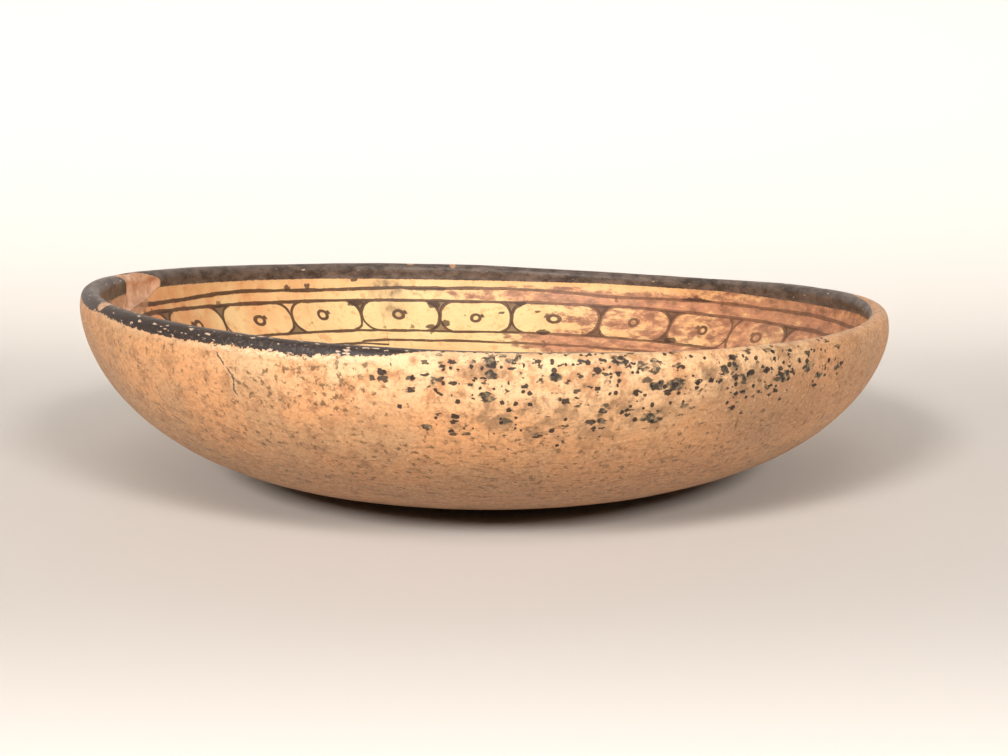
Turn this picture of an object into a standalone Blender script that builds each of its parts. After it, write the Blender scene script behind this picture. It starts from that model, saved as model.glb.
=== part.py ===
"""A shallow hand-built pottery bowl with a round lip, a wavy rim and a chip out of the lip.

The bowl is one fired piece, hollow and empty. +Z is up, and the origin is the middle of the flat
spot that it stands on. Angles run from +X towards +Y. The wall's section is drawn as points
(radius, height), from the edge of the flat spot up the outside, over the lip and down the inside.
"""

from math import atan2, cos, dist, hypot, pi, radians, sin

import bpy

# Driving sizes, in metres
BOWL_RADIUS = 0.130        # out to the widest part of the wall
RIM_HEIGHT = 0.058         # mean height of the lip above the table
WALL = 0.006               # thickness of the wall, and of the round lip
FLOOR = 0.0078             # thickness of the floor round the flat spot
SCOOP = 0.0012             # how much thinner the floor is at its middle
BASE_RADIUS = 0.038        # of the flat spot underneath
SHOULDER = 0.003           # from the widest part up to the middle of the round lip
LIP_LEAN = 0.00035         # how far the lip leans in from the widest part

# The outer wall is a superellipse, bent by these two between the flat spot and its widest part
RISE_POWER = 1.8
ROUND_POWER = 2.37

# The rim was levelled by eye: waves to a turn, their height, and the angle of a crest
RIM_WAVES = (
    (1, 0.00382, radians(180)),
    (2, 0.00153, radians(1)),
    (3, 0.00036, radians(-12)),
    (4, 0.00036, radians(7)),
)

# The chip is a scoop with a crisp edge, out of the top and the inside of the lip
CHIP_ANGLE = radians(173)
CHIP_DROP = 0.0055         # from the lip's top down the inside to the chip's middle
CHIP_LENGTH = 0.036        # round the rim
CHIP_HEIGHT = 0.019        # down the wall
CHIP_DEPTH = 0.0015

# How finely the faces follow the form
COLUMNS = 96
CHIP_SPLIT = 3             # columns near the chip are this many times closer
OUTER_RINGS = 13
SHOULDER_RINGS = 2
LIP_RINGS = 8
INNER_RINGS = 13
SCOOP_RINGS = 3
RING_CROWDING = 2.2        # rings of the wall crowd towards the floor, where it bends most
SLOPE_STEPS = 5000         # the wall's slope is read over its height divided by this
SHARP_EDGE = radians(35)    # shading breaks where faces turn by more

# Worked out from the sizes above
LIP_HEIGHT = RIM_HEIGHT - WALL / 2
WIDEST_HEIGHT = LIP_HEIGHT - SHOULDER
LIP_TURN = 2 * atan2(LIP_LEAN, SHOULDER)
SHOULDER_RADIUS = SHOULDER / sin(LIP_TURN) + WALL / 2


def rim_rise(angle):
    """Height of the lip above or below RIM_HEIGHT at an angle round the bowl."""
    return sum(height * cos(waves * (angle - crest)) for waves, height, crest in RIM_WAVES)


def outer_radius(height):
    """Radius of the outside of the wall, up to its widest part."""
    climbed = 1 - (1 - height / WIDEST_HEIGHT) ** RISE_POWER
    return BASE_RADIUS + (BOWL_RADIUS - BASE_RADIUS) * climbed ** (1 / ROUND_POWER)


def wall_slope(height):
    """Angle of the outside of the wall from level, a right angle at its widest part."""
    step = WIDEST_HEIGHT / SLOPE_STEPS
    low = max(height - step, 0.0)
    high = min(height + step, WIDEST_HEIGHT)
    return atan2(high - low, outer_radius(high) - outer_radius(low))


def wall_thickness(height):
    """Thickness across the wall, easing from the floor's to the lip's."""
    return WALL + (FLOOR - WALL) * (1 - height / WIDEST_HEIGHT) ** 2


def outer_wall():
    """Up the outside, from the edge of the flat spot to the widest part."""
    heights = [WIDEST_HEIGHT * (i / OUTER_RINGS) ** RING_CROWDING for i in range(OUTER_RINGS + 1)]
    return [(outer_radius(height), height) for height in heights]


def shoulder(inset):
    """An arc, upright at the widest part, that leans in to the lip; inset in from the outside."""
    turns = [LIP_TURN * i / SHOULDER_RINGS for i in range(SHOULDER_RINGS + 1)]
    radius = SHOULDER_RADIUS - inset
    centre = BOWL_RADIUS - SHOULDER_RADIUS
    return [(centre + radius * cos(turn), WIDEST_HEIGHT + radius * sin(turn)) for turn in turns]


def lip():
    """Half a circle over the top of the lip, without its two ends, which the shoulders have."""
    centre = BOWL_RADIUS - LIP_LEAN - WALL / 2
    turns = [LIP_TURN + pi * i / LIP_RINGS for i in range(1, LIP_RINGS)]
    return [(centre + WALL / 2 * cos(turn), LIP_HEIGHT + WALL / 2 * sin(turn)) for turn in turns]


def inner_wall():
    """Down the inside, square in from the outside by the wall's thickness."""
    points = []
    for i in range(INNER_RINGS + 1):
        height = WIDEST_HEIGHT * (1 - i / INNER_RINGS) ** RING_CROWDING
        thickness = wall_thickness(height)
        slope = wall_slope(height)
        inside = outer_radius(height) - thickness * sin(slope)
        points.append((inside, height + thickness * cos(slope)))
    return points


def scooped_floor():
    """Across the inside of the floor, towards its middle."""
    shares = [1 - i / SCOOP_RINGS for i in range(1, SCOOP_RINGS)]
    return [(BASE_RADIUS * share, FLOOR - SCOOP * (1 - share ** 2)) for share in shares]


def section():
    """All of the section, without a point twice where its stretches meet."""
    inner_shoulder = shoulder(WALL)[::-1]
    return outer_wall() + shoulder(0.0)[1:] + lip() + inner_shoulder + inner_wall()[1:] + scooped_floor()


def outward(points, i):
    """The direction square to the section at one of its points, out of the clay."""
    before = points[max(i - 1, 0)]
    after = points[min(i + 1, len(points) - 1)]
    run, rise = after[0] - before[0], after[1] - before[1]
    return rise / hypot(run, rise), -run / hypot(run, rise)


def drops(points):
    """How far each point lies down the inside from the lip's top; less than nothing outside."""
    walked = [0.0]
    for a, b in zip(points, points[1:]):
        walked.append(walked[-1] + dist(a, b))
    top = max(range(len(points)), key=lambda i: points[i][1])
    return [length - walked[top] for length in walked]


def chip_depth(angle, drop):
    """How deep the chip is at an angle round the bowl and a drop from the lip's top."""
    along = (angle - CHIP_ANGLE) * BOWL_RADIUS / (CHIP_LENGTH / 2)
    down = (drop - CHIP_DROP) / (CHIP_HEIGHT / 2)
    return CHIP_DEPTH * max(0.0, 1 - along ** 2 - down ** 2)


def columns():
    """Angles of the columns of faces, closer together over the chip."""
    step = 2 * pi / COLUMNS
    reach = CHIP_LENGTH / 2 / BOWL_RADIUS
    angles = []
    for i in range(COLUMNS):
        near = abs(step * (i + 0.5) - CHIP_ANGLE) < reach + step / 2
        split = CHIP_SPLIT if near else 1
        angles += [step * (i + j / split) for j in range(split)]
    return angles


def bowl_points():
    """Rings of points round the bowl, each ring one point of the section, carried to every column."""
    points = section()
    fallen = drops(points)
    verts = []
    for i, (radius, height) in enumerate(points):
        out, up = outward(points, i)
        for angle in columns():
            depth = chip_depth(angle, fallen[i])
            reach = radius - depth * out
            level = (height - depth * up) * (1 + rim_rise(angle) / RIM_HEIGHT)
            verts.append((reach * cos(angle), reach * sin(angle), level))
    return verts


def bowl_mesh():
    """The closed mesh: bands between the rings, one flat face below, and a fan on the floor."""
    verts = bowl_points()
    count = len(columns())
    rings = len(verts) // count
    faces = [tuple(reversed(range(count)))]
    for ring in range(rings - 1):
        for i in range(count):
            here, beside = ring * count + i, ring * count + (i + 1) % count
            faces.append((here, beside, beside + count, here + count))
    middle = len(verts)
    verts.append((0.0, 0.0, FLOOR - SCOOP))
    last = (rings - 1) * count
    faces += [(middle, last + i, last + (i + 1) % count) for i in range(count)]
    mesh = bpy.data.meshes.new("bowl")
    mesh.from_pydata(verts, [], faces)
    mesh.shade_smooth()
    mesh.set_sharp_from_angle(angle=SHARP_EDGE)
    return mesh


def buff_clay():
    """Fired buff clay with a faint burnish."""
    material = bpy.data.materials.new("buff_clay")
    material.use_nodes = True
    shader = material.node_tree.nodes["Principled BSDF"]
    shader.inputs["Base Color"].default_value = (0.63, 0.36, 0.19, 1)
    shader.inputs["Roughness"].default_value = 0.6
    shader.inputs["Metallic"].default_value = 0.0
    return material


def main():
    for old in list(bpy.data.objects):
        bpy.data.objects.remove(old, do_unlink=True)
    bowl = bpy.data.objects.new("bowl", bowl_mesh())
    bowl.data.materials.append(buff_clay())
    bpy.context.scene.collection.objects.link(bowl)


main()
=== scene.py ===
"""A shallow pottery bowl with a painted inside, on a pale floor in soft light.

Two measures say where something is on the wall. Its turn is an angle in degrees from +X towards +Y,
seen from above. Its drop is the way along the wall from the top of the lip, in millimetres: more
than nothing down the inside, and less than nothing down the outside.
"""

from math import atan2, cos, pi, radians, sin

import bpy
import numpy as np
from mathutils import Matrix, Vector, noise


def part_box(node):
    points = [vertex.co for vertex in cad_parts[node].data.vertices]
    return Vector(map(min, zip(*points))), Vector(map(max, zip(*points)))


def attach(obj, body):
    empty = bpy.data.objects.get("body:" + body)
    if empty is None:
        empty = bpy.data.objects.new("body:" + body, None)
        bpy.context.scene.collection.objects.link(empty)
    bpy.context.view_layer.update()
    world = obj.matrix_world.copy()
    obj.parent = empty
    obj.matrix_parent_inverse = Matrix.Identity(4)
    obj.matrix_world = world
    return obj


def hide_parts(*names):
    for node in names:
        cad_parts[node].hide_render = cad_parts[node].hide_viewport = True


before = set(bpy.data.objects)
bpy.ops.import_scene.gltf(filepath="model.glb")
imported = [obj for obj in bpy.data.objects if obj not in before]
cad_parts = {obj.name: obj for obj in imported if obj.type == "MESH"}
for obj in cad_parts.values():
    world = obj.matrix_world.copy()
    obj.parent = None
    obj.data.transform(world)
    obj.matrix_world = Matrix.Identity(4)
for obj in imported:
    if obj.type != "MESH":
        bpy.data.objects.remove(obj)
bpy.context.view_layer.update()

MM = 0.001

# The bowl's form, in millimetres: its width comes from the frame, and the rest is as the solid has it
BOWL_RADIUS = (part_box("bowl")[1].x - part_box("bowl")[0].x) / 2 / MM
RIM_HEIGHT = 58.0
WALL = 6.0
FLOOR = 7.8
SCOOP = 1.2
BASE_RADIUS = 38.0
SHOULDER = 3.0
LIP_LEAN = 0.35
RISE_POWER = 1.8
ROUND_POWER = 2.37
RIM_WAVES = ((1, 3.82, 180.0), (2, 1.53, 1.0), (3, 0.36, -12.0), (4, 0.36, 7.0))

LIP_HEIGHT = RIM_HEIGHT - WALL / 2
WIDEST_HEIGHT = LIP_HEIGHT - SHOULDER
LIP_TURN = 2 * atan2(LIP_LEAN, SHOULDER)
SHOULDER_RADIUS = SHOULDER / sin(LIP_TURN) + WALL / 2

# The chip in the lip. Above and below its middle it bends to greater turns, by CHIP_BOW degrees
# times the square of the way from CHIP_DROP, and by CHIP_BEND degrees at most.
CHIP_TURN = 171.6
CHIP_DROP = 6.5
CHIP_BOW = 0.15
CHIP_BEND = 10.0
CHIP_LENGTH = 27.0
CHIP_HEIGHT = 14.5
CHIP_DEPTH = 1.5
CHIP_ROUGH = 0.45

# Lumps that the potter's hands left, in the mesh
LUMP_SIZE = 34.0
LUMP_DEPTH = 0.35

# How far down the outside the finish of the inside reaches
FINISH_PARTING = -7.0

# The painting: the drop of its first line, and how many panels there are in a row below it
FIRST_LINE = 12.3
PANELS = 22

# Where the panels part, as turns, and where the little rings are between them, as the photo shows
# them from left to right; the rest of the way round is shared out evenly
PARTINGS = (166.0, 150.8, 134.0, 118.2, 101.2, 85.5, 66.2, 50.3, 35.0, 19.8)
RINGS = (158.0, 142.0, 127.0, 110.0, 93.2, 76.5, 58.5, 42.0, 27.8)

# How dark the corners beside each of those partings are filled: above and below
CORNERS = (
    (0.9, 0.8), (0.8, 0.3), (0.3, 0.8), (0.95, 0.1), (0.7, 0.6),
    (0.9, 0.6), (0.9, 0.6), (0.8, 0.95), (0.5, 0.3), (0.7, 0.3),
)

# Knots (turn, drop) of the lines that the row of panels hangs between, and the drop of its middle
ROW_TOP = ((0, 18.1), (20, 18.3), (40, 17.7), (60, 17.2), (97, 18.4), (125, 17.3), (170, 15.7), (200, 17.5))
ROW_BOTTOM = ((0, 33.5), (60, 33.6), (97, 34.0), (120, 32.1), (141, 31.0), (170, 31.0), (200, 33.5))
ROW_MIDDLE = 25.0

# The third line was painted in one turn from here on, and its end runs past its start, below it
THIRD_START = 120.0
THIRD_LINE = ((0, 38.1), (6, 37.8), (16, 39.0), (33, 40.1), (60, 40.0), (200, 39.4), (359, 39.0))
END_STROKE = ((114.0, 40.6), (121.0, 39.1), (130.0, 38.6))

# Knots (turn, drop) of the edges of the black lip: down the inside, and over on the outside
LIP_INNER_EDGE = (
    (0, 7.5), (9, 8.4), (25, 8.1), (40, 7.0), (67, 7.2), (80, 8.1), (94, 8.7), (109, 8.7),
    (124, 8.1), (140, 7.7), (165, 7.6), (176, 8.1), (179, 8.8), (183, 9.0), (187, 11.5), (191, 13.0),
    (205, 13.0), (216, 8.0), (270, 8.0), (300, 8.0), (325, 7.5), (337, 6.3), (350, 6.8),
)
LIP_OUTER_EDGE = (
    (0, 1.0), (7, -1.0), (15, -3.0), (165, -3.4), (185, -2.6), (195, -2.4), (205, -3.8), (212, -4.4),
    (217, -3.9), (223, -4.7), (229, -5.1), (235, -5.1), (243, -4.6), (251, -5.0), (256, -4.2),
    (261, -3.4), (264, -1.4), (272, -0.8), (283, -0.6), (290, 0.6), (325, 2.0), (345, 2.2),
)

# Patches, each (turn, drop, half its width in degrees, half its height, strength); the lists below
# say what each is for, and FLAKING is on the lip.
BLACK_SPOTS = (
    (264.5, -8, 4.0, 8, 0.35), (273, -6, 7, 7, 0.95), (281, -6, 7, 7, 1.0), (287.5, -12, 6, 6, 0.8),
    (275, -19, 9, 7, 0.45), (293, -6, 4, 5, 0.5), (301, -8, 7, 8, 0.95), (311, -7, 7, 7, 0.6),
    (322, -6, 7, 5, 0.12),
)
BROWN_SPOTS = (
    (253, -10, 6, 7, 1.0), (248, -13, 6, 7, 0.8), (243, -14, 5, 6, 0.5), (240, -27, 8, 6, 0.5),
    (258, -15, 5, 6, 0.5), (300, -20, 16, 12, 0.4), (270, -38, 60, 18, 0.45), (320, -22, 10, 12, 0.4),
    (228, -12, 8, 8, 0.35),
)
SMUDGES = (
    (271, -6, 3, 3, 0.9), (274, -16, 7, 5, 1.0), (277, -22, 9, 5, 0.6), (287, -18, 5, 5, 0.7),
    (298, -8, 5, 5, 1.0), (306, -3, 4, 3, 0.6), (243, -34, 14, 10, 0.3),
)
# Where the clay is darker and the slip warmer: partly their own tone, and partly painted shade on the sides
# and the lower front of the outside, which turn away from the lamps
TONE_AND_SHADE = (
    (306, -19, 11, 12, 1.0), (320, -14, 12, 12, 0.6), (290, -34, 16, 8, 0.45), (203, -20, 14, 16, 0.5),
    (345, -14, 18, 20, 0.35), (270, -44, 40, 12, 0.35), (158, 20, 16, 22, 1.0), (250, 30, 40, 18, 0.6),
    (100, 75, 60, 20, 0.5),
)
# Where both clay and slip are paler: partly their own tone, and partly a painted highlight on the front of
# the outside under the lip and on the back of the inside, where the light falls brightest
PALE_TONE_AND_HIGHLIGHT = (
    (271, -5, 24, 9, 1.0), (298, -3, 12, 5, 0.6), (252, -6, 8, 5, 0.5), (103, 22, 28, 16, 0.8),
    (90, 30, 20, 14, 0.6),
)
STAINS = (
    (50, 15, 38, 4, 1.0), (73, 38, 9, 6, 1.0), (56, 37, 24, 5, 0.8), (53, 24, 13, 10, 0.85),
    (64, 24, 10, 9, 0.75), (22, 22, 22, 17, 1.0), (20, 10, 24, 4, 0.6), (0, 24, 18, 16, 0.9),
    (332, 22, 16, 14, 0.6), (152, 48, 20, 14, 0.3),
)
SMOKE = ((111.5, 12.5, 3.2, 3.5, 1.0), (111, 22, 2.4, 4, 0.6), (200, 30, 16, 9, 0.3))
BARE_PATCHES = (
    (180, 12.0, 8, 3.2, 1.3), (187, 15, 9, 4, 1.0), (215.4, -0.8, 1.0, 2.4, 1.2),
    (106.6, 0.5, 0.8, 1.2, 0.9), (97.9, 1.5, 0.6, 1.6, 1.0),
)
FLAKING = ((248, -3, 13, 4, 1.0), (228, -1, 15, 4, 0.75), (268, 0, 8, 3, 0.6))

# Blots of paint, given as patches are
BLOTS = (
    (133.5, 11.1, 0.9, 0.9, 1), (129, 10.9, 0.8, 0.8, 1), (118.7, 8.6, 0.8, 0.9, 0.9),
    (119, 18.9, 1.9, 1.0, 1), (102.2, 20.0, 1.3, 1.6, 1), (103.2, 31.2, 1.3, 1.2, 1),
    (100, 29.3, 0.9, 1.6, 1), (87.8, 23.4, 0.6, 0.9, 0.9), (78.2, 33.0, 1.5, 1.4, 1),
    (83.8, 18.6, 1.2, 0.9, 1), (48.5, 32.1, 1.6, 1.6, 0.9), (80, 22.5, 0.6, 0.7, 0.9),
    (103.5, 13.0, 4.5, 0.6, 0.9), (45.5, 11.3, 3.5, 0.8, 0.9), (231, 21, 1.2, 1.4, 1),
    (287, 36, 1.5, 1.2, 0.9), (318, 19, 1.1, 1.2, 1),
)

# A crack down the outside from the lip: knots (drop, turn)
CRACK = ((-18.0, 243.0), (-16.0, 242.4), (-11.4, 242.6), (-10.0, 241.6), (-6.6, 240.5), (-2.0, 239.8))

# The camera, fitted to the photo's outline
CAMERA_PLACE = (5.8, -383.2, 95.4)
CAMERA_DIP = 10.0
CAMERA_LENS = 40.36


# The form


def rim_rise(turn):
    """Height of the lip above or below RIM_HEIGHT, in millimetres."""
    return sum(height * np.cos(waves * np.radians(turn - crest)) for waves, height, crest in RIM_WAVES)


def outer_radius(height):
    """Radius of the outside of the wall, up to its widest part."""
    climbed = 1 - (1 - height / WIDEST_HEIGHT) ** RISE_POWER
    return BASE_RADIUS + (BOWL_RADIUS - BASE_RADIUS) * climbed ** (1 / ROUND_POWER)


def arc(centre_out, centre_up, radius, start, end, count):
    """Points (radius, height) along part of a circle."""
    turns = np.linspace(start, end, count)
    return np.stack([centre_out + radius * np.cos(turns), centre_up + radius * np.sin(turns)], 1)


def section():
    """(drops, points) of a fine section: over the outside, the lip and the inside, foot to floor."""
    # The wall's points crowd towards the floor, where it bends most
    shares = np.linspace(0, 1, 400)
    heights = WIDEST_HEIGHT * shares ** 2.2
    outside = np.stack([outer_radius(heights), heights], 1)
    lean = (BOWL_RADIUS - SHOULDER_RADIUS, WIDEST_HEIGHT)
    outer_shoulder = arc(*lean, SHOULDER_RADIUS, 0, LIP_TURN, 20)
    lip = arc(BOWL_RADIUS - LIP_LEAN - WALL / 2, LIP_HEIGHT, WALL / 2, LIP_TURN, LIP_TURN + pi, 80)
    inner_shoulder = arc(*lean, SHOULDER_RADIUS - WALL, LIP_TURN, 0, 20)
    run, rise = np.gradient(outside[:, 0]), np.gradient(outside[:, 1])
    thick = WALL + (FLOOR - WALL) * (1 - heights / WIDEST_HEIGHT) ** 2
    square = np.stack([-rise, run], 1) / np.hypot(run, rise)[:, None]
    inside = (outside + thick[:, None] * square)[::-1]
    reach = np.linspace(1, 0, 30)
    floor = np.stack([BASE_RADIUS * reach, FLOOR - SCOOP * (1 - reach ** 2)], 1)
    foot = np.stack([BASE_RADIUS * reach[::-1], np.zeros(30)], 1)
    points = np.concatenate([
        foot, outside[1:], outer_shoulder[1:], lip[1:], inner_shoulder[1:], inside[1:], floor[1:],
    ])
    walked = np.concatenate([[0], np.cumsum(np.hypot(*np.diff(points, axis=0).T))])
    return walked - walked[np.argmax(points[:, 1])], points


def ring_drops(first, last):
    """Drops of the mesh's rings: close together on the lip, and wide apart on the floor and below."""
    steps = ((6.0, 84.0), (1.4, 9.0), (0.6, -9.0), (1.3, -46.0), (4.0, None))
    drops, here = [first], first
    for step, until in steps:
        stop = last if until is None else -until
        count = max(1, round((stop - here) / step))
        drops += list(np.linspace(here, stop, count + 1)[1:])
        here = stop
    return np.array(drops)


def mesh_turns():
    """Turns of the mesh's columns: 0.7 degrees apart, and 0.25 over the chip."""
    low, high = CHIP_TURN - 10, CHIP_TURN + 10
    chip = np.linspace(low, high, 81)
    rest = np.linspace(high, low + 360, 487)[1:-1]
    return np.sort(np.concatenate([chip, rest]) % 360)


def bumps(points, size, octaves, seed):
    """Soft noise from -1 to 1 at each point."""
    shift = Vector((seed, seed * 2.0, seed * 3.0))
    return np.array([noise.fractal(Vector(p) / size + shift, 1.0, 2.0, octaves) for p in points])


def patches(turn, drop, spots):
    """The strongest of some soft round patches at each point."""
    found = np.zeros_like(turn)
    for at_turn, at_drop, wide, high, strength in spots:
        across = ((turn - at_turn + 180) % 360 - 180) / wide
        away = np.hypot(across, (drop - at_drop) / high)
        found = np.maximum(found, strength * np.clip(1.6 - away, 0, 1))
    return found


def round_rim(turn, knots):
    """A value all round the rim, through knots (turn, value)."""
    turns, values = zip(*knots)
    return np.interp(turn, turns, values, period=360)


def chip_shape(turn, drop):
    """1 in the chip's middle, nothing on its edge and less outside it."""
    middle = CHIP_TURN + np.minimum(CHIP_BOW * (drop - CHIP_DROP) ** 2, CHIP_BEND)
    along = (turn - middle) * pi / 180 * BOWL_RADIUS / (CHIP_LENGTH / 2)
    down = (drop - CHIP_DROP) / (CHIP_HEIGHT / 2)
    return 1 - along ** 2 - down ** 2


def panel_knots():
    """(turns, panel numbers) of the partings and the rings, from turn to turn a whole way round."""
    turns, numbers = [], []
    for i, turn in enumerate(PARTINGS):
        turns.append(-turn)
        numbers.append(float(i))
    for i, turn in enumerate(RINGS):
        turns.append(-turn)
        numbers.append(i + 0.5)
    turns.append(360 - PARTINGS[0])
    numbers.append(float(PANELS))
    order = np.argsort(turns)
    return np.array(turns)[order], np.array(numbers)[order]


def panel_number(turn):
    """Which panel is at a turn: whole numbers are partings, and halves are rings."""
    turns, numbers = panel_knots()
    return np.interp((-turn + PARTINGS[0]) % 360 - PARTINGS[0], turns, numbers)


def corner_fill(number, drop):
    """How dark the corner of a panel nearest to each point is filled."""
    parting = np.round(number).astype(int) % PANELS
    below = (drop > ROW_MIDDLE).astype(int)
    plain = np.sin(parting * 12.9898 + (1 - below) * 78.233) * 43758.5 % 1
    known = np.array(CORNERS)[np.minimum(parting, len(CORNERS) - 1), below]
    return np.where(parting < len(CORNERS), known, plain * 0.9)


def paint_measures(turn, drop, place):
    """What the materials ask of the wall at each point, by name."""
    sway = 0.35 * np.sin(np.radians(turn) * 7) + 0.25 * np.sin(np.radians(turn) * 11 + 2)
    inner = round_rim(turn, LIP_INNER_EDGE)
    outer = round_rim(turn, LIP_OUTER_EDGE)
    third = np.interp((THIRD_START - turn) % 360, *zip(*THIRD_LINE))
    ended = np.interp(turn, *zip(*END_STROKE))
    ending = (turn > END_STROKE[0][0]) & (turn < END_STROKE[-1][0])
    crack_drop, crack_turn = zip(*CRACK)
    crack = (turn - np.interp(drop, crack_drop, crack_turn)) * pi / 180 * BOWL_RADIUS
    cracked = (drop > CRACK[0][0]) & (drop < CRACK[-1][0]) & (abs(crack) < 20)
    return {
        "drop": drop,
        "first_line": drop - FIRST_LINE - sway,
        "row_top": drop - round_rim(turn, ROW_TOP),
        "row_bottom": drop - round_rim(turn, ROW_BOTTOM),
        "third_line": drop - third,
        "end_stroke": np.where(ending, drop - ended, 9.0),
        "lip_paint": np.minimum(drop - outer, inner - drop),
        "flaking": patches(turn, drop, FLAKING),
        "chip": chip_shape(turn, drop) + 0.18 * bumps(place, 5.0, 3, 4.1),
        "bare": patches(turn, drop, BARE_PATCHES),
        "blots": patches(turn, drop, BLOTS),
        "smoke": patches(turn, drop, SMOKE),
        "black_spots": patches(turn, drop, BLACK_SPOTS),
        "brown_spots": np.where(drop < 0, 0.3 + patches(turn, drop, BROWN_SPOTS), 0.0),
        "smudges": patches(turn, drop, SMUDGES),
        "pale_and_highlit": patches(turn, drop, PALE_TONE_AND_HIGHLIGHT),
        "tone_and_shade": np.minimum(patches(turn, drop, TONE_AND_SHADE), 1.0),
        "stain": patches(turn, drop, STAINS),
        "crack": np.where(cracked, crack, 20.0),
    }


def bowl_mesh():
    """The wall as one closed mesh of rings and columns, with its measures stored on its points."""
    drops, points = section()
    normals = np.gradient(points, axis=0)[:, ::-1] * (1, -1)
    normals /= np.linalg.norm(normals, axis=1)[:, None]
    rings = ring_drops(drops[0], drops[-1])[1:-1]
    turns = mesh_turns()
    drop, turn = np.meshgrid(rings, turns, indexing="ij")
    drop, turn = drop.ravel(), turn.ravel()
    radius, height, out, up = (np.interp(drop, drops, v) for v in (*points.T, *normals.T))
    around = np.radians(turn)
    place = np.stack([radius * np.cos(around), radius * np.sin(around), height], 1)
    # The lumps go inwards, so that the wall stays in the solid's box, and fade towards the flat spot
    grip = np.clip((radius - BASE_RADIUS) / 25, 0, 1)
    lumps = LUMP_DEPTH * (bumps(place, LUMP_SIZE, 3, 1.7) * 0.6 - 0.6) * grip
    chip = np.clip(chip_shape(turn, drop) + 0.12 * bumps(place, 6.0, 2, 9.3), 0, 1)
    ragged = CHIP_ROUGH * bumps(place, 3.5, 3, 6.2) * np.clip(chip * 4, 0, 1)
    # The chip is shallower over the top of the lip than down the inside
    deep = CHIP_DEPTH * np.interp(drop, (-2, 5), (0.35, 1))
    moved = lumps - deep * np.minimum(chip * 2.2, 1) + ragged
    height = (height + moved * up) * (1 + rim_rise(turn) / RIM_HEIGHT)
    radius = radius + moved * out
    verts = np.stack([radius * np.cos(around), radius * np.sin(around), height], 1) * MM
    measures = paint_measures(turn, drop, place)

    across = len(turns)
    ring, column = np.meshgrid(np.arange(len(rings) - 1), np.arange(across), indexing="ij")
    here = (ring * across + column).ravel()
    beside = (ring * across + (column + 1) % across).ravel()
    quads = np.stack([here, beside, beside + across, here + across], 1)
    foot, middle = len(verts), len(verts) + 1
    verts = np.concatenate([verts, [(0, 0, 0), (0, 0, (FLOOR - SCOOP) * MM)]])
    last = (len(rings) - 1) * across
    fans = [(foot, (i + 1) % across, i) for i in range(across)]
    fans += [(middle, last + i, last + (i + 1) % across) for i in range(across)]
    mesh = bpy.data.meshes.new("bowl_wall")
    mesh.from_pydata(verts.tolist(), [], quads.tolist() + fans)
    mesh.shade_smooth()

    for name, values in measures.items():
        layer = mesh.attributes.new(name, "FLOAT", "POINT")
        ends = (drops[0], drops[-1]) if name == "drop" else (values[0], values[-1])
        layer.data.foreach_set("value", np.concatenate([values, ends]).astype(np.float32))
    add_panels(mesh, turn, drop, across)
    return mesh


def add_panels(mesh, turn, drop, across):
    """A UV map with the panel's number across, and how dark its nearest corner is filled."""
    number = panel_number(turn)
    fill = corner_fill(number, drop)
    corners = np.zeros(len(mesh.loops), np.int64)
    mesh.loops.foreach_get("vertex_index", corners)
    # The two points that the fans meet in have no turn of their own
    known = np.minimum(corners, len(turn) - 1)
    uv = np.stack([number[known], fill[known]], 1)
    starts = np.zeros(len(mesh.polygons), np.int64)
    totals = np.zeros(len(mesh.polygons), np.int64)
    mesh.polygons.foreach_get("loop_start", starts)
    mesh.polygons.foreach_get("loop_total", totals)
    face = np.repeat(np.arange(len(starts)), totals)
    highest = np.maximum.reduceat(uv[:, 0], starts)[face]
    # A face over the seam counts on past the last panel
    uv[:, 0] += np.where(highest - uv[:, 0] > PANELS / 2, PANELS, 0)
    layer = mesh.uv_layers.new(name="panels")
    layer.data.foreach_set("uv", uv.astype(np.float32).ravel())


# Building materials


def srgb(red, green, blue):
    """A colour as Blender wants it, from the 0 to 255 that a picture shows."""
    linear = [c / 12.92 if c <= 0.04045 else ((c + 0.055) / 1.055) ** 2.4
              for c in (red / 255, green / 255, blue / 255)]
    return (*linear, 1.0)


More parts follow.
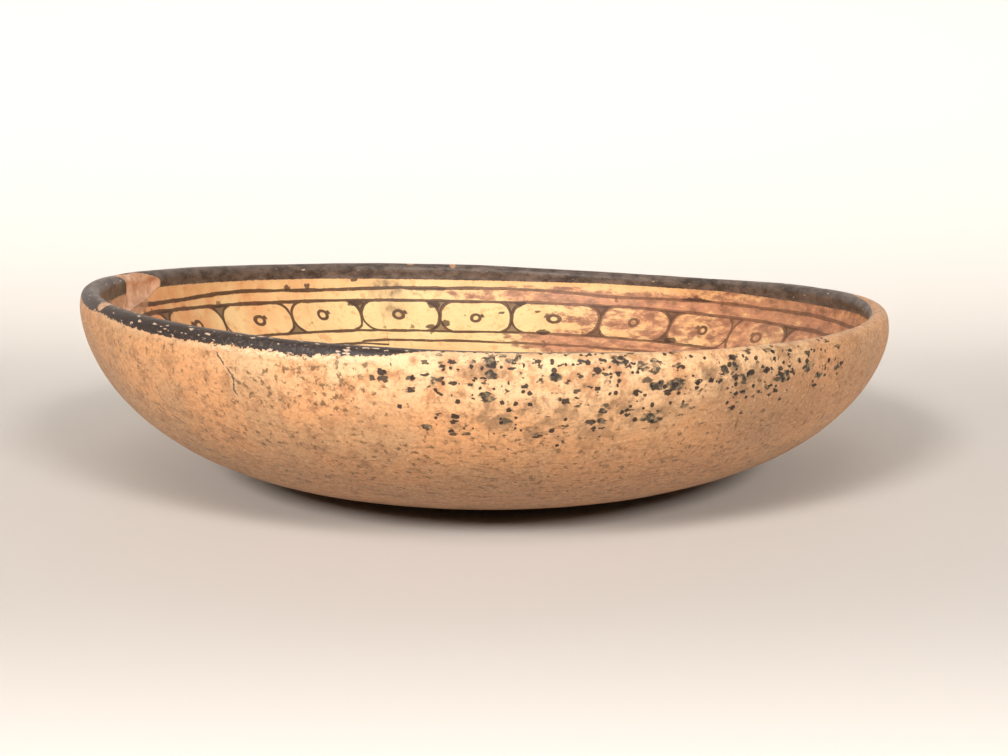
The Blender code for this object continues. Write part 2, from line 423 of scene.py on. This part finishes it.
class Nodes:
    """Adds nodes to a tree. Each value is a number, a colour or the socket of another node."""

    def __init__(self, tree):
        self.tree = tree

    def give(self, socket, value):
        if isinstance(value, bpy.types.NodeSocket):
            self.tree.links.new(value, socket)
        else:
            socket.default_value = value

    def add(self, kind, values, **settings):
        node = self.tree.nodes.new("ShaderNode" + kind)
        for name, setting in settings.items():
            setattr(node, name, setting)
        for name, value in values.items():
            self.give(node.inputs[name], value)
        return node

    def math(self, operation, a, b=0.0):
        return self.add("Math", {0: a, 1: b}, operation=operation).outputs[0]

    def times(self, a, b):
        return self.math("MULTIPLY", a, b)

    def plus(self, a, b):
        return self.math("ADD", a, b)

    def minus(self, a, b):
        return self.math("SUBTRACT", a, b)

    def either(self, a, b):
        return self.math("MAXIMUM", a, b)

    def without(self, a, b):
        """a where b isn't."""
        return self.times(a, self.minus(1.0, b))

    def rise(self, value, low, high):
        """0 below low, 1 above high and smooth between; low may be the greater."""
        node = self.add("MapRange", {"Value": value, "From Min": low, "From Max": high},
                        interpolation_type="SMOOTHSTEP")
        return node.outputs[0]

    def mix(self, share, a, b):
        """Colour a where share is 0, and colour b where it is 1."""
        return self.add("Mix", {0: share, 6: a, 7: b}, data_type="RGBA").outputs[2]

    def measure(self, name):
        return self.add("Attribute", {}, attribute_name=name).outputs["Fac"]

    def noise(self, place, size, detail=2.0, roughness=0.5):
        values = {"Vector": place, "Scale": 1 / size, "Detail": detail, "Roughness": roughness}
        return self.add("TexNoise", values).outputs[0]

    def place(self):
        """The point on the bowl, in millimetres."""
        coordinates = self.add("TexCoord", {}).outputs["Object"]
        scaled = self.add("VectorMath", {0: coordinates, "Scale": 1 / MM}, operation="SCALE")
        return scaled.outputs[0]

    def stretched(self, place, drop, along, across):
        """A place for marks that run round the bowl, along times as long as they are high."""
        parts = self.add("SeparateXYZ", {0: place})
        values = {0: self.times(parts.outputs[0], 1 / along), 1: self.times(parts.outputs[1], 1 / along),
                  2: self.times(drop, 1 / across)}
        return self.add("CombineXYZ", values).outputs[0]

    def group(self, tree, **values):
        node = self.tree.nodes.new("ShaderNodeGroup")
        node.node_tree = tree
        for name, value in values.items():
            self.give(node.inputs[name.replace("_", " ")], value)
        return node


def new_group(name, inputs, outputs):
    """(tree, nodes, input sockets by name, output node) of an empty node group."""
    tree = bpy.data.node_groups.new(name, "ShaderNodeTree")
    kinds = {"float": "NodeSocketFloat", "vector": "NodeSocketVector", "colour": "NodeSocketColor"}
    for socket, kind in inputs.items():
        tree.interface.new_socket(name=socket, in_out="INPUT", socket_type=kinds[kind])
    for socket, kind in outputs.items():
        tree.interface.new_socket(name=socket, in_out="OUTPUT", socket_type=kinds[kind])
    start = tree.nodes.new("NodeGroupInput")
    end = tree.nodes.new("NodeGroupOutput")
    return tree, Nodes(tree), start.outputs, end.inputs


def spots_group():
    """Scattered angular spots, as many as Density lets through, each with a Shade of its own."""
    tree, n, given, made = new_group(
        "spots",
        {"Place": "vector", "Density": "float", "Size": "float", "Raggedness": "float"},
        {"Mask": "float", "Shade": "float"},
    )
    size = given["Size"]
    finer = n.math("DIVIDE", 1.1, size)
    wander = n.add("TexNoise", {"Vector": given["Place"], "Scale": finer, "Detail": 1.0})
    push = n.add("VectorMath", {0: wander.outputs["Color"], 1: (-0.5, -0.5, -0.5)}).outputs[0]
    reach = n.times(given["Raggedness"], size)
    push = n.add("VectorMath", {0: push, "Scale": reach}, operation="SCALE").outputs[0]
    place = n.add("VectorMath", {0: given["Place"], 1: push}).outputs[0]
    cells = n.add("TexVoronoi", {"Vector": place, "Scale": n.math("DIVIDE", 0.45, size)})
    chance = n.add("SeparateColor", {0: cells.outputs["Color"]})
    there = n.rise(n.minus(given["Density"], chance.outputs[0]), 0.0, 0.02)
    edge = n.plus(0.2, n.times(chance.outputs[1], 0.3))
    n.give(made["Mask"], n.times(there, n.rise(cells.outputs["Distance"], edge, n.times(edge, 0.75))))
    n.give(made["Shade"], chance.outputs[2])
    return tree


def clay_group(spots):
    """The bare burnished clay, with its spots and smudges, and some painted shade and highlight."""
    tree, n, given, made = new_group(
        "burnished_clay",
        {"Place": "vector", "Drop": "float", "Black spots": "float", "Brown spots": "float",
         "Smudges": "float", "Cream": "float", "Dusk": "float"},
        {"Colour": "colour", "Roughness": "float", "Height": "float"},
    )
    place, drop, blacks = given["Place"], given["Drop"], given["Black spots"]
    cloud = n.noise(place, 24.0, 4.0, 0.6)
    mottle = n.noise(place, 5.0, 5.0, 0.62)
    freckle = n.noise(place, 1.7, 4.0, 0.65)
    grain = n.noise(place, 0.8, 2.0, 0.6)
    streak = n.noise(n.stretched(place, drop, 4.5, 1.3), 1.0, 3.0, 0.6)
    colour = n.mix(n.rise(cloud, 0.40, 0.60), srgb(214, 155, 105), srgb(197, 151, 108))
    # Darker where the patches say: partly the clay's own tone, partly painted shade on the sides
    colour = n.mix(n.times(given["Dusk"], 0.65), colour, srgb(146, 108, 78))
    colour = n.mix(n.times(n.rise(mottle, 0.50, 0.64), 0.6), colour, srgb(168, 118, 80))
    # Paler where the patches say: partly the clay's own tone, partly a painted highlight on the front
    paler_and_lit = n.times(given["Cream"], n.rise(mottle, 0.62, 0.4))
    colour = n.mix(n.times(paler_and_lit, 0.85), colour, srgb(226, 190, 146))
    colour = n.mix(n.times(n.rise(freckle, 0.5, 0.66), 0.5), colour, srgb(140, 98, 66))
    # Darker towards the bottom, with stronger streaks there
    low = n.rise(drop, -18.0, -55.0)
    colour = n.mix(n.times(low, 0.5), colour, srgb(150, 112, 78))
    # Painted shade on the underside towards the foot, which also keeps warm light from bouncing off it onto
    # the floor under the bowl
    colour = n.mix(n.times(n.rise(drop, -56.0, -86.0), 0.55), colour, srgb(104, 78, 56))
    lines = n.times(n.rise(streak, 0.54, 0.66), n.plus(0.28, n.times(low, 0.5)))
    colour = n.mix(lines, colour, srgb(118, 84, 56))
    colour = n.mix(n.times(n.rise(grain, 0.5, 0.7), 0.3), colour, srgb(136, 98, 66))
    colour = n.mix(n.times(n.rise(grain, 0.46, 0.3), 0.3), colour, srgb(228, 192, 148))
    smoky = n.times(given["Smudges"], n.rise(mottle, 0.44, 0.6))
    colour = n.mix(n.times(smoky, 0.55), colour, srgb(106, 90, 68))

    freckled = given["Brown spots"]
    least = n.minus(0.68, n.times(freckled, 0.13))
    brown = n.rise(n.minus(freckle, least), 0.0, 0.07)
    brown = n.times(brown, n.math("MINIMUM", n.times(freckled, 2.0), 1.0))
    colour = n.mix(n.times(brown, 0.7), colour, srgb(98, 74, 46))

    crowd = n.times(blacks, n.plus(0.45, n.times(n.rise(mottle, 0.38, 0.52), 0.55)))
    wide = n.stretched(place, drop, 1.3, 0.85)
    dots = n.group(spots, Place=place, Density=n.times(blacks, 0.5), Size=0.75, Raggedness=0.8)
    chips = n.group(spots, Place=wide, Density=crowd, Size=1.1, Raggedness=1.5)
    flakes = n.group(spots, Place=wide, Density=n.times(crowd, 0.75), Size=2.0, Raggedness=1.5)
    tar = n.mix(n.rise(chips.outputs["Shade"], 0.5, 1.0), srgb(30, 23, 19), srgb(82, 68, 52))
    flaked = n.mix(n.rise(freckle, 0.42, 0.58), srgb(120, 100, 74), srgb(54, 44, 35))
    colour = n.mix(n.times(flakes.outputs["Mask"], n.rise(freckle, 0.30, 0.48)), colour, flaked)
    colour = n.mix(n.times(chips.outputs["Mask"], 0.93), colour, tar)
    colour = n.mix(n.times(dots.outputs["Mask"], 0.93), colour, srgb(32, 24, 20))
    black = n.either(chips.outputs["Mask"], dots.outputs["Mask"])
    n.give(made["Colour"], colour)
    n.give(made["Roughness"], n.plus(0.5, n.times(n.either(black, n.rise(grain, 0.4, 0.8)), 0.2)))
    fine = n.plus(n.times(streak, 0.07), n.times(freckle, 0.06))
    n.give(made["Height"], n.plus(fine, n.minus(n.times(mottle, 0.08), n.times(black, 0.05))))
    return tree


def brush_line_group():
    """A painted line that swells and thins and is off its course by Shake, Width wide."""
    tree, n, given, made = new_group(
        "brush_line",
        {"Off": "float", "Width": "float", "Shake": "float", "Swell": "float", "Dry": "float"},
        {"Mask": "float"},
    )
    shake = n.minus(given["Shake"], 0.5)
    half = n.times(given["Width"], n.plus(0.16, n.times(given["Swell"], 0.72)))
    stroke = n.rise(n.minus(half, n.math("ABSOLUTE", n.plus(given["Off"], shake))), -0.14, 0.14)
    n.give(made["Mask"], n.times(stroke, n.rise(given["Dry"], 0.2, 0.36)))
    return tree


def panels_group():
    """The row of rounded panels: their outlines, the corners between them and the little rings."""
    tree, n, given, made = new_group(
        "panel_row",
        {"Place": "vector", "Number": "float", "Fill": "float", "Below top": "float",
         "Above bottom": "float"},
        {"Outline": "float", "Corners": "float", "Ring": "float", "Inside": "float"},
    )
    width = 2 * pi * (BOWL_RADIUS - WALL - 5) / PANELS
    wander = n.add("TexNoise", {"Vector": given["Place"], "Scale": 1 / 8, "Detail": 2.0})
    wander = n.add("SeparateColor", {0: wander.outputs["Color"]}).outputs
    shake = n.times(n.minus(wander[0], 0.5), 2.2)
    tremble = n.times(n.minus(n.noise(given["Place"], 3.0, 2.0), 0.5), 0.9)
    across = n.plus(n.times(n.minus(n.math("FRACT", given["Number"]), 0.5), width), shake)
    near = n.times(across, 0.85)
    side = n.minus(width / 2 - 0.25, n.math("ABSOLUTE", across))
    edge = n.math("MINIMUM", given["Below top"], given["Above bottom"])
    round_off = 6.8
    from_side = n.either(n.minus(round_off, side), 0.0)
    from_edge = n.either(n.minus(round_off, n.plus(edge, tremble)), 0.0)
    corner = n.math("SQRT", n.plus(n.times(from_side, from_side), n.times(from_edge, from_edge)))
    corner = n.minus(corner, round_off)
    swell = n.plus(0.15, n.times(wander[1], 1.0))
    in_row = n.rise(edge, -0.2, 0.3)
    outline = n.rise(n.minus(swell, n.math("ABSOLUTE", corner)), -0.14, 0.14)
    n.give(made["Outline"], n.times(in_row, outline))
    gap = n.times(in_row, n.rise(corner, 0.0, 0.3))
    n.give(made["Corners"], n.times(gap, n.rise(given["Fill"], 0.35, 0.65)))
    n.give(made["Inside"], n.times(in_row, n.rise(corner, 0.2, -0.2)))

    mark = n.add("TexWhiteNoise", {"W": n.math("FLOOR", given["Number"])}, noise_dimensions="1D")
    chance = n.add("SeparateColor", {0: mark.outputs["Color"]}).outputs
    up = n.plus(n.times(n.minus(given["Below top"], given["Above bottom"]), 0.5), 0.3)
    up = n.plus(n.plus(up, n.times(n.minus(chance[0], 0.5), 1.4)), n.times(tremble, 0.5))
    flip = n.minus(n.times(n.rise(chance[1], 0.49, 0.51), 2.0), 1.0)
    away = n.math("SQRT", n.plus(n.times(near, near), n.times(up, up)))
    lean = n.minus(n.times(near, flip), n.times(up, 0.45))
    aim = n.math("DIVIDE", lean, n.either(n.times(away, 1.1), 0.01))
    tail = n.times(n.rise(aim, 0.92, 0.97), n.times(n.rise(away, 1.5, 1.9), n.rise(away, 3.8, 3.2)))
    rim = n.plus(1.6, n.times(chance[2], 0.35))
    thick = n.plus(0.48, n.times(wander[2], 0.4))
    ring = n.rise(n.minus(thick, n.math("ABSOLUTE", n.minus(away, rim))), -0.15, 0.15)
    n.give(made["Ring"], n.either(ring, tail))
    return tree


def new_material(name, specular):
    """(material, nodes, shader) of a new material with a Principled shader."""
    material = bpy.data.materials.new(name)
    material.use_nodes = True
    shader = material.node_tree.nodes["Principled BSDF"]
    shader.inputs["Specular IOR Level"].default_value = specular
    return material, Nodes(material.node_tree), shader


def clay_here(n, clay, place, drop):
    """The clay group, fed with the wall's own measures."""
    return n.group(
        clay, Place=place, Drop=drop, Black_spots=n.measure("black_spots"),
        Brown_spots=n.measure("brown_spots"), Smudges=n.measure("smudges"), Cream=n.measure("pale_and_highlit"),
        Dusk=n.measure("tone_and_shade"),
    )


def finish_shader(n, shader, colour, roughness, height):
    """Joins a surface's colour, gloss and relief, whose height is in millimetres, to its shader."""
    n.give(shader.inputs["Base Color"], colour)
    n.give(shader.inputs["Roughness"], roughness)
    bump = n.add("Bump", {"Height": height, "Distance": MM, "Strength": 1.0})
    n.give(shader.inputs["Normal"], bump.outputs[0])


def outside_material(clay):
    """Burnished clay with a crack down from the lip."""
    material, n, shader = new_material("bowl_outside", 0.4)
    place, drop = n.place(), n.measure("drop")
    bare = clay_here(n, clay, place, drop)
    wander = n.times(n.minus(n.noise(place, 2.4, 4.0, 0.75), 0.5), 3.4)
    off = n.math("ABSOLUTE", n.plus(n.measure("crack"), wander))
    crack = n.times(n.rise(off, 0.38, 0.08), n.rise(n.noise(place, 3.5, 2.0), 0.44, 0.5))
    colour = n.mix(n.times(n.rise(off, 1.4, 0.4), 0.3), bare.outputs["Colour"], srgb(216, 186, 148))
    colour = n.mix(n.times(crack, 0.85), colour, srgb(66, 46, 32))
    height = n.minus(bare.outputs["Height"], n.times(crack, 0.35))
    finish_shader(n, shader, colour, bare.outputs["Roughness"], height)
    return material


def inside_material(clay, brush_line, panels, spots):
    """Cream slip, the painted lines and panels, the black lip and the chip out of it."""
    material, n, shader = new_material("bowl_inside", 0.4)
    place, drop = n.place(), n.measure("drop")
    bare = clay_here(n, clay, place, drop)
    cloud = n.noise(place, 26.0, 3.0, 0.6)
    mottle = n.noise(place, 4.5, 5.0, 0.65)
    speckle = n.noise(place, 1.6, 4.0, 0.65)
    grain = n.noise(place, 0.8, 2.0, 0.6)

    slip = n.mix(n.rise(cloud, 0.35, 0.65), srgb(232, 197, 141), srgb(221, 171, 118))
    # Paler slip where the patches say: partly its own tone, partly a painted highlight on the back
    slip = n.mix(n.times(n.measure("pale_and_highlit"), n.rise(mottle, 0.3, 0.6)), slip, srgb(233, 203, 146))
    slip = n.mix(n.times(n.measure("tone_and_shade"), n.rise(cloud, 0.3, 0.6)), slip, srgb(220, 150, 98))
    slip = n.mix(n.times(n.rise(mottle, 0.52, 0.68), 0.6), slip, srgb(206, 140, 90))
    slip = n.mix(n.times(n.rise(grain, 0.56, 0.76), 0.25), slip, srgb(160, 110, 72))
    colour = n.mix(n.rise(drop, 1.5, 4.0), bare.outputs["Colour"], slip)

    panel = n.add("UVMap", {}, uv_map="panels").outputs[0]
    number = n.add("SeparateXYZ", {0: panel})
    top, bottom = n.measure("row_top"), n.measure("row_bottom")
    row = n.group(panels, Place=place, Number=number.outputs[0], Fill=number.outputs[1],
                  Below_top=top, Above_bottom=n.times(bottom, -1.0))
    drift = n.noise(n.stretched(place, drop, 2.0, 1.0), 3.6, 6.0, 0.68)
    stain = n.minus(n.measure("stain"), n.times(row.outputs["Inside"], 0.28))
    stain = n.plus(stain, n.minus(n.times(drift, 4.0), 2.05))
    stain = n.times(n.rise(stain, 0.0, 0.65), n.rise(n.measure("stain"), 0.0, 0.2))
    rusty = n.mix(n.rise(drift, 0.42, 0.68), srgb(190, 129, 99), srgb(118, 76, 61))
    colour = n.mix(n.times(stain, 0.85), colour, rusty)

    shake = n.noise(place, 9.0, 3.0, 0.6)
    swell = n.noise(place, 13.0, 3.0, 0.6)
    lines = n.either(row.outputs["Outline"], row.outputs["Ring"])
    for off, width in ((n.measure("first_line"), 1.4), (top, 1.35), (bottom, 1.3),
                       (n.measure("third_line"), 1.4), (n.measure("end_stroke"), 1.1)):
        line = n.group(brush_line, Off=off, Width=width, Shake=shake, Swell=swell, Dry=speckle)
        lines = n.either(lines, line.outputs[0])
    paint = n.mix(n.rise(mottle, 0.35, 0.65), srgb(56, 34, 24), srgb(84, 54, 36))
    colour = n.mix(n.times(row.outputs["Corners"], 0.8), colour, srgb(78, 56, 42))
    colour = n.mix(n.times(lines, n.minus(0.92, n.times(stain, 0.3))), colour, paint)
    blots = n.rise(n.plus(n.measure("blots"), n.minus(n.times(speckle, 0.9), 0.45)), 0.42, 0.58)
    colour = n.mix(n.times(blots, 0.85), colour, srgb(66, 44, 32))
    dabs = n.group(spots, Place=place, Density=n.times(n.rise(drop, 8.0, 12.0), 0.05),
                   Size=1.3, Raggedness=1.5)
    colour = n.mix(n.times(dabs.outputs["Mask"], 0.7), colour, srgb(98, 64, 42))
    smoke = n.times(n.measure("smoke"), n.rise(mottle, 0.3, 0.62))
    colour = n.mix(n.times(smoke, 0.75), colour, srgb(76, 58, 48))

    bare_clay = n.mix(n.rise(mottle, 0.35, 0.65), srgb(196, 146, 112), srgb(158, 110, 80))
    worn = n.rise(n.plus(n.measure("bare"), n.times(n.minus(mottle, 0.5), 0.8)), 0.35, 0.6)
    colour = n.mix(n.times(worn, 0.85), colour, bare_clay)

    flaking = n.measure("flaking")
    ragged = n.times(n.minus(speckle, 0.5), n.plus(0.9, n.times(flaking, 3.2)))
    edge = n.plus(n.measure("lip_paint"), ragged)
    black = n.without(n.rise(edge, -0.12, 0.15), worn)
    pale = n.times(flaking, n.times(n.rise(edge, -2.2, -0.5), n.rise(grain, 0.42, 0.55)))
    colour = n.mix(n.without(n.times(pale, 0.85), black), colour, srgb(226, 198, 162))
    blackened = n.mix(n.rise(drift, 0.32, 0.68), srgb(54, 45, 40), srgb(114, 98, 88))
    blackened = n.mix(n.rise(drop, 1.0, -2.0), blackened, srgb(52, 42, 38))
    blackened = n.mix(n.times(n.rise(grain, 0.52, 0.75), 0.4), blackened, srgb(130, 110, 98))
    flecks = n.group(spots, Place=n.stretched(place, drop, 1.8, 0.7), Raggedness=1.8, Size=0.6,
                     Density=n.plus(0.03, n.times(flaking, 0.5)))
    blackened = n.mix(n.times(flecks.outputs["Mask"], 0.8), blackened, srgb(214, 184, 156))
    black = n.without(black, n.rise(n.measure("chip"), -0.02, 0.03))
    colour = n.mix(black, colour, blackened)

    chip = n.rise(n.measure("chip"), -0.02, 0.05)
    fresh = n.mix(n.rise(mottle, 0.38, 0.62), srgb(232, 188, 158), srgb(202, 152, 120))
    colour = n.mix(n.times(chip, 0.92), colour, fresh)

    roughness = n.minus(bare.outputs["Roughness"], n.times(black, 0.05))
    height = n.plus(n.times(bare.outputs["Height"], 0.6), n.times(n.either(lines, black), 0.03))
    height = n.plus(height, n.times(n.times(chip, mottle), 0.5))
    height = n.plus(height, n.times(n.either(pale, stain), 0.06))
    finish_shader(n, shader, colour, roughness, height)
    return material


def make_bowl():
    """The bowl in two finishes, which part on the outside, under the lip."""
    bowl = bpy.data.objects.new("painted_bowl", bowl_mesh())
    bpy.context.scene.collection.objects.link(bowl)
    spots = spots_group()
    clay = clay_group(spots)
    bowl.data.materials.append(outside_material(clay))
    bowl.data.materials.append(inside_material(clay, brush_line_group(), panels_group(), spots))
    drop = np.zeros(len(bowl.data.vertices), np.float32)
    bowl.data.attributes["drop"].data.foreach_get("value", drop)
    inside = [int(min(drop[v] for v in face.vertices) > FINISH_PARTING) for face in bowl.data.polygons]
    bowl.data.polygons.foreach_set("material_index", inside)
    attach(bowl, "root")
    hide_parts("bowl")
    return bowl


# The stage


def make_floor():
    """A pale floor that sweeps up into a backdrop, which is clear when it is seen from behind."""
    front, bend, radius, top, side = -2.0, 0.22, 0.35, 2.4, 1.3
    sweep = [(front, 0.0)]
    sweep += [(bend + radius * sin(a), radius - radius * cos(a)) for a in np.linspace(0, pi / 2, 25)]
    sweep.append((bend + radius, top))
    verts = [(x, y, z) for y, z in sweep for x in (-side, side)]
    faces = [(2 * i, 2 * i + 1, 2 * i + 3, 2 * i + 2) for i in range(len(sweep) - 1)]
    mesh = bpy.data.meshes.new("floor")
    mesh.from_pydata(verts, [], faces)
    mesh.shade_smooth()
    floor = bpy.data.objects.new("floor", mesh)
    bpy.context.scene.collection.objects.link(floor)
    material, n, shader = new_material("pale_paper", 0.2)
    shader.inputs["Roughness"].default_value = 0.9
    shader.inputs["Base Color"].default_value = srgb(206, 200, 194)
    behind = n.add("NewGeometry", {}).outputs["Backfacing"]
    clear = n.add("BsdfTransparent", {}).outputs[0]
    surface = n.add("MixShader", {0: behind, 1: shader.outputs[0], 2: clear}).outputs[0]
    n.give(material.node_tree.nodes["Material Output"].inputs["Surface"], surface)
    mesh.materials.append(material)


def add_light(name, place, target, size, power, colour, spread=180):
    """A rectangular lamp that is aimed at a target, and shines over spread degrees."""
    data = bpy.data.lights.new(name, "AREA")
    data.shape = "RECTANGLE"
    data.size, data.size_y = size
    data.energy = power
    data.color = colour
    data.spread = radians(spread)
    light = bpy.data.objects.new(name, data)
    light.location = place
    light.rotation_euler = (Vector(target) - Vector(place)).to_track_quat("-Z", "Y").to_euler()
    bpy.context.scene.collection.objects.link(light)


def light_stage():
    """A lamp on either side in front, two small ones for the front, and one for the backdrop."""
    pale = (1.0, 0.975, 0.945)
    aim = (0.0, 0.0, 0.02)
    add_light("left_lamp", (-0.87, -1.50, 1.02), aim, (0.4, 0.4), 31.8, pale)
    add_light("right_lamp", (0.87, -1.50, 1.02), aim, (0.4, 0.4), 25.0, pale)
    add_light("front_lamp", (0.0, -0.46, 0.40), aim, (0.2, 0.1), 0.7, pale)
    add_light("floor_lamp", (0.0, -0.33, 0.32), (0.0, -0.32, 0.0), (0.8, 0.05), 0.6, pale, 60)
    add_light("backdrop_lamp", (0.0, 0.10, 1.10), (0.0, 0.60, 0.10), (2.4, 0.2), 4.1, pale, 60)
    light_room(0.85, 0.02)


def light_room(seen_strength, lit_strength):
    """A faint even light all round, which the camera sees as a pale room where the floor ends."""
    world = bpy.data.worlds.new("pale_room")
    world.use_nodes = True
    n = Nodes(world.node_tree)
    seen = n.add("LightPath", {}).outputs["Is Camera Ray"]
    room = world.node_tree.nodes["Background"]
    room.inputs["Color"].default_value = (1.0, 0.98, 0.95, 1.0)
    n.give(room.inputs["Strength"], n.plus(n.times(seen, seen_strength), lit_strength))
    bpy.context.scene.world = world


def make_camera():
    """The camera in the photo's place, looking along +Y and dipped by CAMERA_DIP degrees."""
    data = bpy.data.cameras.new("camera")
    data.lens = CAMERA_LENS
    data.clip_start, data.clip_end = 0.01, 20.0
    camera = bpy.data.objects.new("camera", data)
    camera.location = Vector(CAMERA_PLACE) * MM
    camera.rotation_euler = (radians(90 - CAMERA_DIP), 0, 0)
    bpy.context.scene.collection.objects.link(camera)
    bpy.context.scene.camera = camera


make_bowl()
make_floor()
light_stage()
make_camera()
bpy.context.scene.view_settings.view_transform = "Standard"
